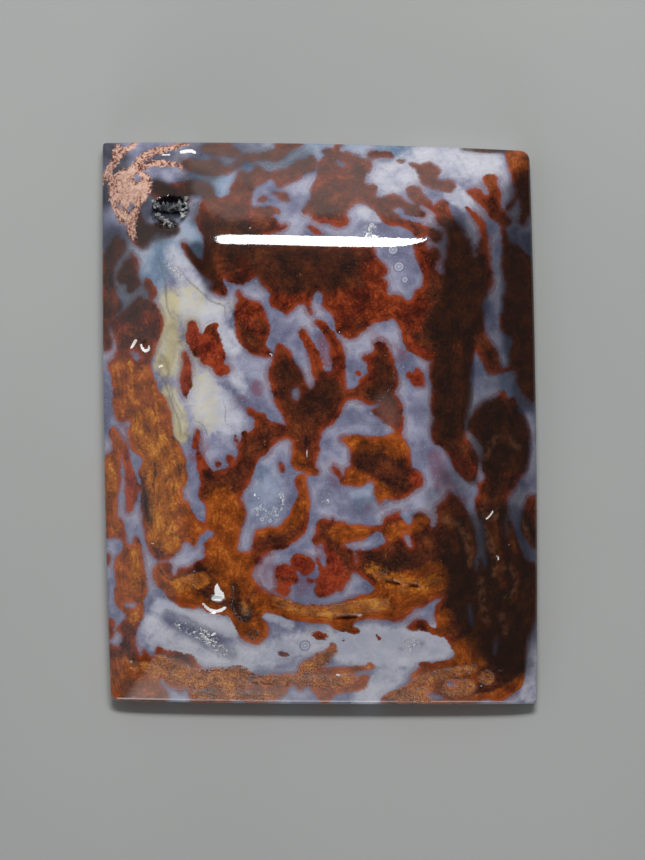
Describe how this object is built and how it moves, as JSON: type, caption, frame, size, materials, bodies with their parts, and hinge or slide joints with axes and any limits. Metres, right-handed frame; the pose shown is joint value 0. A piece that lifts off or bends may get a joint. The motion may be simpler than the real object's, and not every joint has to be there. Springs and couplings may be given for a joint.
{
  "type": "plume agate cabochon",
  "caption": "Rectangular polished agate cabochon with a flat back, an upright girdle, four slanted flanks, a low crown, open pits and a crystal-lined hollow.",
  "frame": {"origin": "middle of the flat back, on the surface that the stone lies on", "axes": "+Z out of the polished face, +Y along the stone towards the end with the crystal-lined hollow, +X across the stone"},
  "size_m": [0.0294, 0.038, 0.0068],
  "materials": {
    "plume_agate": "polished, red-brown and ochre plumes in blue-grey chalcedony"
  },
  "bodies": {
    "root": {"agate_cabochon": "plume_agate"}
  },
  "joints": []
}
